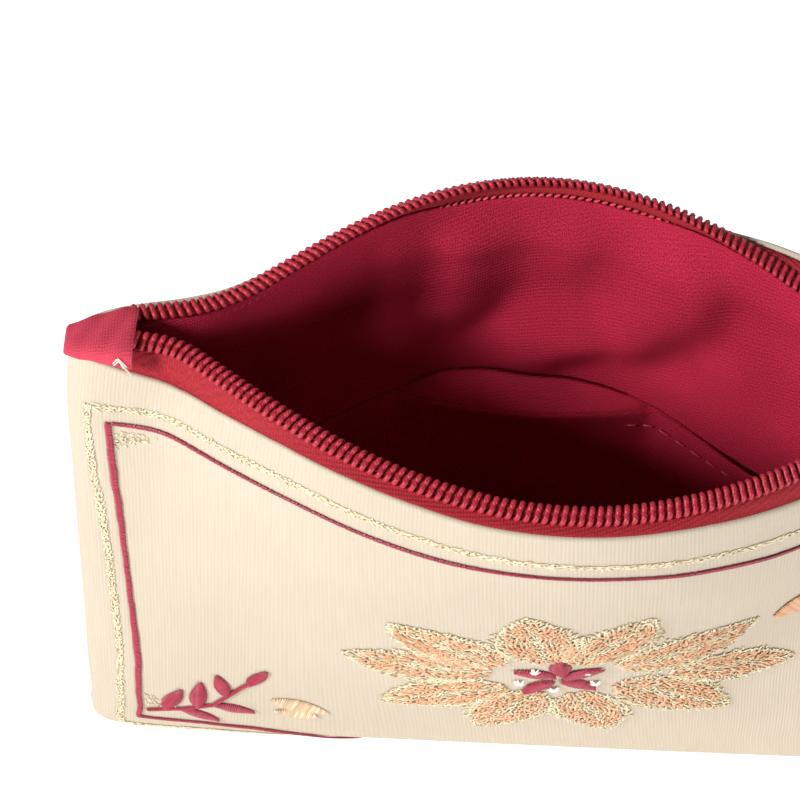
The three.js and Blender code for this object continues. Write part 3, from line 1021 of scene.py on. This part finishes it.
def sewn_piece(name, starts, ends, outs, radius, tones, material, slot, flat=0.75, sink=0.2, arch=0.12):
    """Many stitches in one mesh: each runs from a start to an end and lies on the cloth that faces out."""
    starts, ends, outs = (np.asarray(v, float) for v in (starts, ends, outs))
    count = len(starts)
    radius = np.broadcast_to(radius, count)[:, None, None]
    half = (ends - starts) / 2
    side = np.cross(outs, half)
    side /= np.linalg.norm(side, axis=1, keepdims=True) + 1e-9
    x, y, z = STITCH.T
    middle = (starts + ends) / 2
    rise = radius * flat * y[None, :, None] + radius * (flat - sink) + arch * (1 - z**2)[None, :, None]
    points = (
        middle[:, None, :]
        + half[:, None, :] * z[None, :, None]
        + side[:, None, :] * radius * x[None, :, None]
        + outs[:, None, :] * rise
    )
    points[..., 2] = np.maximum(points[..., 2], FLOOR_CLEAR)
    size = len(STITCH)
    faces = [tuple(i * size + corner for corner in face) for i in range(count) for face in STITCH_FACES]
    mesh = bpy.data.meshes.new(name)
    mesh.from_pydata((points.reshape(-1, 3) * MM).tolist(), [], faces)
    tone = mesh.attributes.new("tone", "FLOAT", "POINT")
    tone.data.foreach_set("value", np.repeat(np.broadcast_to(tones, count), size).astype(np.float32))
    around = np.arctan2(y, x) / math.pi
    length = np.linalg.norm(half, axis=1)
    on_thread = np.stack([np.tile(around, count), (length[:, None] * z).ravel()], axis=1)
    corner = np.empty(len(mesh.loops), int)
    mesh.loops.foreach_get("vertex_index", corner)
    mesh.uv_layers.new(name="UVMap").data.foreach_set("uv", on_thread[corner].ravel())
    piece = bpy.data.objects.new(name, mesh)
    bpy.context.scene.collection.objects.link(piece)
    deselect_all()
    piece.select_set(True)
    bpy.context.view_layer.objects.active = piece
    bpy.ops.object.shade_smooth()
    return finish_piece(piece, material, slot)


# Borders: distances under the rim and from the side seams, and the bottom line's heights at given x
BORDER_D = (10, 25, 40, 55, 70, 86)
BORDER_S = (-75, -55, -38, -22, -8, 5, 18, 28, 38, 50, 62, 75)
GOLD_BORDER = {
    "rim": (9.3, 8.7, 6.5, 6.8, 7.4, 7.8, 8.6, 9.6, 10.8, 10.2, 9.4, 9.0),
    "seam": (4.9, 5.3, 6.3, 6.9, 7.4, 6.3),
}
CRIMSON_BORDER = {
    "rim": (12.2, 12.0, 10.6, 10.7, 10.8, 11.1, 12.0, 13.8, 16.0, 15.0, 12.8, 12.0),
    "seam": (8.0, 8.4, 9.1, 9.8, 10.5, 9.6),
}
BOTTOM_X = (-70, -58, -48, -40, -30, -18, 70)
BOTTOM_CRIMSON = (6.2, 6.1, 5.9, 5.0, 2.6, -1.5, -1.5)
BORDER_BLEND = 5.0
BORDER_RIGHT = 2.4
GOLD_BELOW = 3.1
LINE_STEP = 0.05
CORNER_FAN = 21
SATIN_LEAN = 0.28


def border_line(border, drop):
    """Places round a border: down the left, along the bottom, up the right and back along the top."""
    edge = SECTIONS[2, 1]

    def bottom(across):
        return (np.interp(across * edge, BOTTOM_X, BOTTOM_CRIMSON) - drop) / RIM_HEIGHT

    def side_line(end):
        downs = np.linspace(border["rim"][0 if end < 0 else -1], 95, 160)
        shift = BORDER_RIGHT if end > 0 else 0
        places = [seam_distance_place(np.interp(d, BORDER_D, border["seam"]) - shift, d, end) for d in downs]
        return [(a, h) for a, h in places if h > max(bottom(a), 0.002)]

    left = side_line(-1)
    right = side_line(1)
    bottom_line = [(a, bottom(a)) for a in np.linspace(left[-1][0], right[-1][0], 300)]
    inner = np.linspace(left[0][0], right[0][0], 300)[1:-1]
    columns = np.rint((inner + 1) / 2 * (len(PANEL_ACROSS) - 1)).astype(int)
    rim = np.stack([BORDER_S, border["rim"]], axis=1)
    downs = smooth_table(rim, PANEL_ALONG[-8, columns], BORDER_BLEND)
    top = [
        (across, np.interp(-down, -PANEL_DOWN[:, column], PANEL_HEIGHT))
        for across, column, down in zip(inner, columns, downs)
    ]
    return left + bottom_line + right[::-1] + top[::-1] + left[:1]


def even_line(places):
    """Evenly spaced points of a line on the front cloth, with directions along it, across it and out."""
    points, out = cloth_points(places)
    length = arc_lengths(points)
    even = np.arange(0, length[-1], LINE_STEP)
    points = along_table(even, length, points)
    out = unit(along_table(even, length, out))
    along = np.gradient(points, axis=0)
    fan = np.ones(CORNER_FAN) / CORNER_FAN
    padded = np.pad(along, ((CORNER_FAN // 2, CORNER_FAN // 2), (0, 0)), mode="edge")
    along = np.stack([np.convolve(padded[:, i], fan, "valid") for i in range(3)], axis=1)
    along /= np.linalg.norm(along, axis=1, keepdims=True) + 1e-9
    return points, along, np.cross(out, along), out


def line_rows(line, pitch, jitter):
    """Indices along an even line, a stitch pitch apart with a little unevenness."""
    count = int(len(line[0]) * LINE_STEP / pitch)
    at = (np.arange(count) + chance.uniform(-jitter, jitter, count)) * pitch / LINE_STEP
    return np.clip(np.rint(at).astype(int), 0, len(line[0]) - 1)


def satin_border():
    points, along, over, out = line = even_line(border_line(CRIMSON_BORDER, 0.0))
    at = line_rows(line, 0.36, 0.25)
    upright = np.abs(along[at, 2])
    half = 0.36 + 0.16 * upright + 0.07 * np.sin(at * LINE_STEP / 7.0) + chance.uniform(-0.05, 0.05, len(at))
    reach = over[at] * half[:, None] + along[at] * SATIN_LEAN
    # Upright runs of the border get lighter tones and the run along the top darker ones: painted sheen, on
    # top of each stitch's random tone.
    tones = chance.uniform(0.0, 0.45, len(at)) + 0.45 * upright
    return sewn_piece(
        "border_crimson_satin", points[at] - reach, points[at] + reach, out[at],
        0.24, tones, CRIMSON_THREAD, "crimson_thread", arch=0.16)


def gold_border():
    points, along, over, out = line = even_line(border_line(GOLD_BORDER, GOLD_BELOW))
    starts, ends, outs = [], [], []
    for offset, pitch, lean in ((-0.42, 0.72, 0.4), (-0.14, 0.6, -0.4), (0.14, 0.6, 0.4), (0.42, 0.72, -0.4)):
        at = line_rows(line, pitch, 0.35)
        middle = points[at] + over[at] * (offset + chance.normal(0, 0.09, (len(at), 1)))
        turn = lean + chance.normal(0, 0.3, (len(at), 1))
        half = (along[at] * np.cos(turn) + over[at] * np.sin(turn)) * chance.uniform(0.3, 0.55, (len(at), 1))
        starts.append(middle - half)
        ends.append(middle + half)
        outs.append(out[at])
    starts, ends, outs = (np.concatenate(v) for v in (starts, ends, outs))
    return sewn_piece(
        "border_gold_thread", starts, ends, outs, 0.165, chance.beta(1.1, 0.7, len(starts)), GOLD_THREAD,
        "gold_thread", flat=0.6, arch=0.06)


border_pieces = [satin_border(), gold_border()]


def panel_stitches(pairs):
    """Start, end and outward direction of stitches given as pairs of (s, d) points."""
    pairs = np.asarray(pairs, float)
    start, out = cloth_points([panel_place(s, d) for s, d in pairs[:, 0]])
    end, _ = cloth_points([panel_place(s, d) for s, d in pairs[:, 1]])
    return start, end, out


def sew_on_panel(name, pairs, radius, tones, material, slot, **how):
    """Stitches on the front panel, given as pairs of (s, d) points."""
    return sewn_piece(name, *panel_stitches(pairs), radius, tones, material, slot, **how)


# Sprig on the front: leaves as base s and d, turn from +s towards +d in degrees, length, width
LEAVES = (
    (-3, 56, 184, 24, 13.0),
    (-2, 52, 218, 24, 13.0),
    (0, 61, 148, 23, 12.5),
    (5, 50, 254, 25, 13.5),
    (9, 50, 290, 24, 13.0),
    (5, 62, 108, 23, 13.0),
    (11, 62, 66, 22, 12.5),
    (16, 52, 326, 25, 13.0),
    (17, 58, 28, 24, 12.5),
    (25, 55, 0, 22, 10.0),
)
SMALL_LEAVES = (
    (-37, 76, 28, 11, 5.0),
    (-29, 83, 200, 8, 4.0),
    (40, 40, 335, 13, 6.5),
    (47, 44, 15, 11, 5.0),
)
PETALS = (
    (7, 56, 200, 7.5, 3.8),
    (7.5, 55, 262, 7.5, 3.8),
    (8, 56, 325, 7.5, 3.8),
    (8, 57, 30, 7.0, 3.6),
    (7, 57.5, 130, 7.0, 3.6),
)
PALE_KNOTS = ((3.2, 53.4), (11.6, 53.2), (13.6, 58.0), (7.4, 61.0), (1.6, 58.8))


def leaf_half_width(width, share):
    return width / 2 * np.sin(math.pi * share**0.85) ** 0.8


def leaf_outline(base_s, base_d, turn, length, width, share, side_share):
    """A point of a leaf: share along it, and from -1 to 1 across it."""
    angle = math.radians(turn)
    ahead = share * length
    sideways = leaf_half_width(width, share) * side_share
    return (
        base_s + ahead * math.cos(angle) - sideways * math.sin(angle),
        base_d + ahead * math.sin(angle) + sideways * math.cos(angle),
    )


def short_stitch(point, angle, half):
    """A stitch about a point of the panel, as a pair of (s, d) ends."""
    ds = half * math.cos(angle)
    dd = half * math.sin(angle)
    return ((point[0] - ds, point[1] - dd), (point[0] + ds, point[1] + dd))


def leaf_stitches(leaf, copper, gold, spacing):
    """Grainy fill of short stitches that turn this way and that, copper inside and gold round the edge."""
    turn = math.radians(leaf[2])
    for share in np.arange(0.04, 0.97, spacing / leaf[3]):
        half_width = leaf_half_width(leaf[4], share)
        count = max(2, round(2 * half_width / spacing))
        for side_share in (np.arange(count) + 0.5) / count * 2 - 1:
            at_share = np.clip(share + chance.normal(0, 0.25 * spacing / leaf[3]), 0.01, 0.99)
            at_side = side_share + chance.normal(0, 0.25 / count)
            point = leaf_outline(*leaf, at_share, at_side)
            angle = turn + 0.5 * side_share + chance.normal(0, 0.55)
            rim = abs(side_share) > 0.8 or share > 0.9 or abs(side_share) < 0.12
            chosen = gold if rim or chance.random() < 0.28 else copper
            chosen.append(short_stitch(point, angle, chance.uniform(0.45, 0.85)))
    for share in np.arange(0.03, 1.0, 0.55 / leaf[3]):
        for edge in (-1, 1):
            point = leaf_outline(*leaf, share, edge * (1 + chance.normal(0.02, 0.08)))
            gold.append(short_stitch(point, chance.uniform(0, math.pi), chance.uniform(0.3, 0.6)))


def sprig():
    copper, gold = [], []
    for leaf in LEAVES:
        leaf_stitches(leaf, copper, gold, 0.74)
    for leaf in SMALL_LEAVES:
        for count, pair in enumerate(satin_leaf(leaf)):
            (gold if leaf[0] < 0 and count % 3 else copper).append(pair)
    pieces = []
    for name, pairs, material, radius in (
        ("sprig_copper_fill", copper, COPPER_THREAD, 0.25),
        ("sprig_gold_fill", gold, GOLD_THREAD, 0.19),
    ):
        tones = chance.beta(0.9, 0.9, len(pairs))
        pieces.append(sew_on_panel(name, pairs, radius, tones, material, "gold_thread", arch=0.12))
    return pieces


# Crimson spray in the lower left corner: its stem, and leaves as for the sprig
SPRAY_STEM = ((-57.5, 83.5), (-52.0, 81.8), (-46.5, 78.6), (-41.0, 71.0))
SPRAY_LEAVES = (
    (-55.0, 82.6, 292, 8.5, 3.2),
    (-52.0, 81.6, 28, 7.5, 3.0),
    (-49.5, 80.4, 275, 8.5, 3.2),
    (-46.5, 78.4, 22, 7.5, 3.0),
    (-44.5, 76.0, 255, 7.0, 2.8),
    (-41.3, 71.6, 300, 6.5, 2.8),
)
SATIN_SPACING = 0.36


def satin_leaf(leaf):
    """Stitches laid side by side across a leaf."""
    pairs = []
    for share in np.arange(0.04, 0.98, SATIN_SPACING / leaf[3]):
        low = leaf_outline(*leaf, max(share - 0.05, 0.01), -1)
        high = leaf_outline(*leaf, min(share + 0.05, 0.99), 1)
        pairs.append((low, high))
    return pairs


def spray():
    """Satin stitches laid across the stem and the leaves."""
    pairs = []
    stem = np.array(SPRAY_STEM)
    length = arc_lengths(stem)
    for at in np.arange(0, length[-1], SATIN_SPACING):
        point = [np.interp(at, length, stem[:, i]) for i in range(2)]
        pairs.append(short_stitch(point, 0.9, 0.5))
    for leaf in SPRAY_LEAVES:
        pairs += satin_leaf(leaf)
    tones = chance.uniform(0.2, 0.9, len(pairs))
    name = "spray_crimson_satin"
    return [sew_on_panel(name, pairs, 0.23, tones, CRIMSON_THREAD, "crimson_thread", arch=0.3)]


def petals():
    """Crimson satin petals in the sprig's middle, with pale knots between them."""
    pairs = []
    for petal in PETALS:
        pairs += satin_leaf(petal)
    tones = chance.uniform(0.2, 0.9, len(pairs))
    red = sew_on_panel("sprig_petals", pairs, 0.24, tones, CRIMSON_THREAD, "crimson_thread", arch=0.5)
    lights = []
    for point in PALE_KNOTS:
        for turn in chance.uniform(0, math.pi, 5):
            lights.append(short_stitch(point, turn, 1.1))
    pale = sew_on_panel("sprig_pale_knots", lights, 0.24, 0.7, CREAM_THREAD, "cream_cloth", arch=0.5)
    return [red, pale]


CORNER_ALONG = 7.0
CORNER_DOWN = 4.4
CORNER_SPECKS = 46


def corner_specks():
    """Small gold specks scattered in the corners of the crimson border, thinning out from the corner."""
    pairs = []
    top = CRIMSON_BORDER["rim"][0] + 1.6
    low = 82.5
    for end, d_from, way in ((-1, top, 1), (1, top, 1), (-1, low, -1)):
        row = table_row(PANEL_ALONG, 1 - d_from / PANEL_TALL)
        corner = row[-1] - CRIMSON_BORDER["seam"][0 if way > 0 else -1] - 1.2
        for first, second in chance.random((CORNER_SPECKS, 2)):
            if first + second > 1:
                first, second = 1 - first, 1 - second
            point = (end * (corner - CORNER_ALONG * first), d_from + way * CORNER_DOWN * second)
            pairs.append(short_stitch(point, chance.uniform(0, math.pi), chance.uniform(0.25, 0.5)))
    tones = chance.beta(0.8, 0.8, len(pairs))
    how = {"flat": 0.6, "arch": 0.08}
    return [sew_on_panel("corner_gold_specks", pairs, 0.14, tones, GOLD_THREAD, "gold_thread", **how)]


embroidery = border_pieces + sprig() + spray() + petals() + corner_specks()


def tape_knots():
    """Sewing knots under the back coil, one to a loop."""
    even, points, along, outward, up = mouth_line("back", 2.75, 0.55)
    at = np.searchsorted(even, np.arange(1.0, even[-1] - 1.0, COIL_PITCH))
    reach = along[at] * 0.42 + up[at] * 0.3
    return sewn_piece("zip_tape_knots", points[at] - reach, points[at] + reach, -outward[at], 0.26,
                      chance.uniform(0.5, 1.0, len(at)), CRIMSON_COIL, "crimson_coil", arch=0.1)


def pocket_topstitch():
    """A row of dashes along the pocket's hem."""
    starts = np.arange(0.24, 0.8, 2.6 / RIM_HALF_WIDTH)
    ends = starts + 1.7 / RIM_HALF_WIDTH
    face = POCKET_CLOTH / 2 + 0.02
    first = pocket_face(starts, 0 * starts + 0.955, face)
    last = pocket_face(ends, 0 * ends + 0.955, face)
    above = pocket_face(starts, 0 * starts + 0.97, face)
    out = unit(np.cross(above - first, last - first))
    out *= np.where(out[:, 1:2] > 0, -1, 1)
    name = "pocket_topstitch"
    return sewn_piece(name, first, last, out, 0.2, 0.9, CRIMSON_COIL, "crimson_thread", arch=0.1)


# Frayed threads at the left tab: start, middle and end points
FRAYS = (
    ((-62.2, -6.0, 93.9), (-61.4, -5.8, 94.6), (-60.2, -6.7, 93.4)),
    ((-62.3, -5.9, 94.2), (-61.6, -5.6, 94.9), (-60.8, -6.4, 93.7)),
    ((-61.9, -5.6, 94.7), (-61.0, -6.0, 94.2), (-59.6, -6.9, 92.9)),
    ((-61.5, -5.7, 94.9), (-61.0, -5.9, 94.5), (-60.3, -6.3, 93.9)),
)


def frayed_threads():
    starts, ends = [], []
    for first, middle, last in FRAYS:
        starts += [first, middle]
        ends += [middle, last]
    starts = np.array(starts)
    ends = np.array(ends)
    outs = np.tile((0, -0.6, 0.8), (len(starts), 1))
    starts = starts - 0.1 * (ends - starts)
    name = "tab_frayed_threads"
    return sewn_piece(name, starts, ends, outs, 0.1, 0.6, CREAM_THREAD, "cream_cloth", arch=0.05)


zip_pieces += [tape_knots(), frayed_threads()]
pocket_stitches = pocket_topstitch()

# Slider finish
SLIDER_METAL, slider_tree, slider_shader = new_material("plated_metal", 0.28, Metallic=1.0)
slider_place = node(slider_tree, "ShaderNodeTexCoord")
scuffs = node(slider_tree, "ShaderNodeTexNoise", {"Vector": slider_place.outputs["Object"], "Scale": 900.0})
slider_tree.links.new(
    two_tone(slider_tree, scuffs.outputs[0], (0.5, 0.33, 0.11), (0.78, 0.57, 0.25)),
    slider_shader.inputs["Base Color"])
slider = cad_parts["zip_slider"]
slider.data.materials.clear()
slider.data.materials.append(SLIDER_METAL)

# Floor, light and camera
deselect_all()
bpy.ops.mesh.primitive_plane_add(size=6)
floor = bpy.context.object
floor.name = "floor"
FLOOR_WHITE, floor_tree, floor_shader = new_material("floor_white", 0.9)
floor_shader.inputs["Base Color"].default_value = (0.93, 0.93, 0.94, 1)
floor_shader.inputs["Emission Color"].default_value = (1, 1, 1, 1)
floor_shader.inputs["Emission Strength"].default_value = 0.42
floor.data.materials.append(FLOOR_WHITE)

world = bpy.data.worlds.new("studio")
bpy.context.scene.world = world
world.use_nodes = True
world.node_tree.nodes["Background"].inputs["Color"].default_value = (1.0, 0.99, 0.98, 1)
world.node_tree.nodes["Background"].inputs["Strength"].default_value = 0.1
bpy.context.scene.view_settings.view_transform = "Standard"


def area_light(name, place, aim, size, power):
    bpy.ops.object.light_add(type="AREA", location=Vector(place) * MM)
    lamp = bpy.context.object
    lamp.name = name
    lamp.data.size = size * MM
    lamp.data.energy = power
    lamp.rotation_euler = (Vector(aim) - Vector(place)).to_track_quat("-Z", "Y").to_euler()


area_light("key", (-740, -370, 480), (0, 0, 60), 200, 11.4)
area_light("fill", (520, -640, 50), (20, -20, 40), 400, 7.7)
area_light("back", (160, 430, 600), (0, 0, 90), 500, 1.2)

CAMERA_TARGET = (-21.516, 0.0, 83.176)
CAMERA_DISTANCE = 308.104
CAMERA_ELEVATION = math.radians(48.74)
CAMERA_TURN = math.radians(-5.767)
CAMERA_ROLL = math.radians(7.566)
FOCAL_PIXELS = 2123.118
FRAME_PIXELS = 800
SENSOR = 36.0


def add_camera():
    bpy.ops.object.camera_add()
    camera = bpy.context.object
    forward = Vector((
        -math.sin(CAMERA_TURN) * math.cos(CAMERA_ELEVATION),
        math.cos(CAMERA_TURN) * math.cos(CAMERA_ELEVATION),
        -math.sin(CAMERA_ELEVATION),
    ))
    right = Vector((math.cos(CAMERA_TURN), math.sin(CAMERA_TURN), 0))
    up = right.cross(forward)
    rolled_right = right * math.cos(CAMERA_ROLL) + up * math.sin(CAMERA_ROLL)
    rolled_up = up * math.cos(CAMERA_ROLL) - right * math.sin(CAMERA_ROLL)
    turn = Matrix((rolled_right, rolled_up, -forward)).transposed()
    place = (Vector(CAMERA_TARGET) - forward * CAMERA_DISTANCE) * MM
    camera.matrix_world = Matrix.Translation(place) @ turn.to_4x4()
    camera.data.sensor_width = SENSOR
    camera.data.lens = FOCAL_PIXELS / FRAME_PIXELS * SENSOR
    camera.data.clip_start = 0.01
    bpy.context.scene.camera = camera


add_camera()
